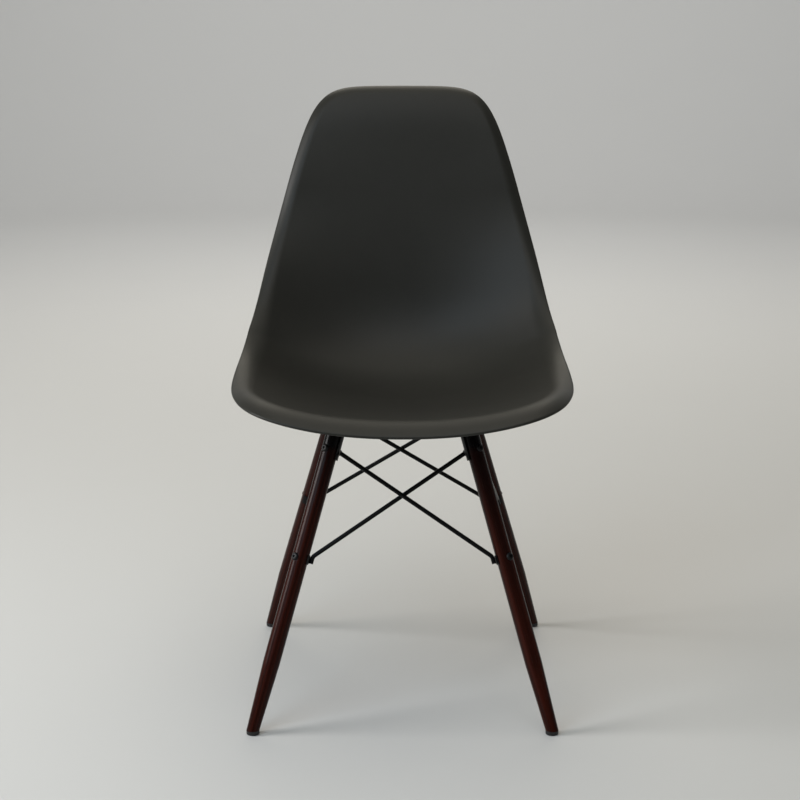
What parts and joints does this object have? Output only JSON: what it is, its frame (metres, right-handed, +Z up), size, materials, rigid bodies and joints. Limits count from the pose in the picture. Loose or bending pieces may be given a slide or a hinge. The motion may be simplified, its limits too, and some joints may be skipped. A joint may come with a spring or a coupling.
{
  "type": "moulded plastic shell chair",
  "caption": "Armless side chair: a one-piece moulded bucket shell with a rolled rim on splayed tapered wooden dowel legs, tied by a black steel base with crossed struts.",
  "frame": {"origin": "on the floor, below the middle of the chair's overall box", "axes": "+Z up, the chair faces -Y, +X to the right seen from the front"},
  "size_m": [0.4672, 0.5434, 0.8276],
  "materials": {
    "shell_plastic": "dark warm grey, fine matte moulded texture",
    "dark_wood": "dark red-brown stain, satin lacquer",
    "black_steel": "black powder coat, satin",
    "black_fasteners": "black zinc, satin",
    "glide_plastic": "black moulded plastic",
    "bright_steel": "plain steel nails",
    "rubber": "black rubber",
    "brass": "turned brass"
  },
  "bodies": {
    "root": {"base_rod_a": "black_steel", "base_rod_b": "black_steel", "glide_front_left": "glide_plastic", "glide_front_right": "glide_plastic", "glide_nails": "bright_steel", "glide_rear_left": "glide_plastic", "glide_rear_right": "glide_plastic", "leg_front_left": "dark_wood", "leg_front_right": "dark_wood", "leg_rear_left": "dark_wood", "leg_rear_right": "dark_wood", "lower_leg_bolts": "black_fasteners", "lower_leg_nuts": "black_fasteners", "lower_saddle_front_left": "black_steel", "lower_saddle_front_right": "black_steel", "lower_saddle_rear_left": "black_steel", "lower_saddle_rear_right": "black_steel", "mount_tab_front_left": "black_steel", "mount_tab_front_right": "black_steel", "mount_tab_rear_left": "black_steel", "mount_tab_rear_right": "black_steel", "seat_screws": "black_fasteners", "seat_shell": "shell_plastic", "seat_washers": "black_fasteners", "spacer_pad_front_left": "rubber", "spacer_pad_front_right": "rubber", "spacer_pad_rear_left": "rubber", "spacer_pad_rear_right": "rubber", "strut_front_a": "black_steel", "strut_front_b": "black_steel", "strut_left_a": "black_steel", "strut_left_b": "black_steel", "strut_rear_a": "black_steel", "strut_rear_b": "black_steel", "strut_right_a": "black_steel", "strut_right_b": "black_steel", "threaded_inserts": "brass", "top_bracket_front_left": "black_steel", "top_bracket_front_right": "black_steel", "top_bracket_rear_left": "black_steel", "top_bracket_rear_right": "black_steel", "upper_leg_bolts": "black_fasteners", "upper_leg_nuts": "black_fasteners"}
  },
  "joints": []
}
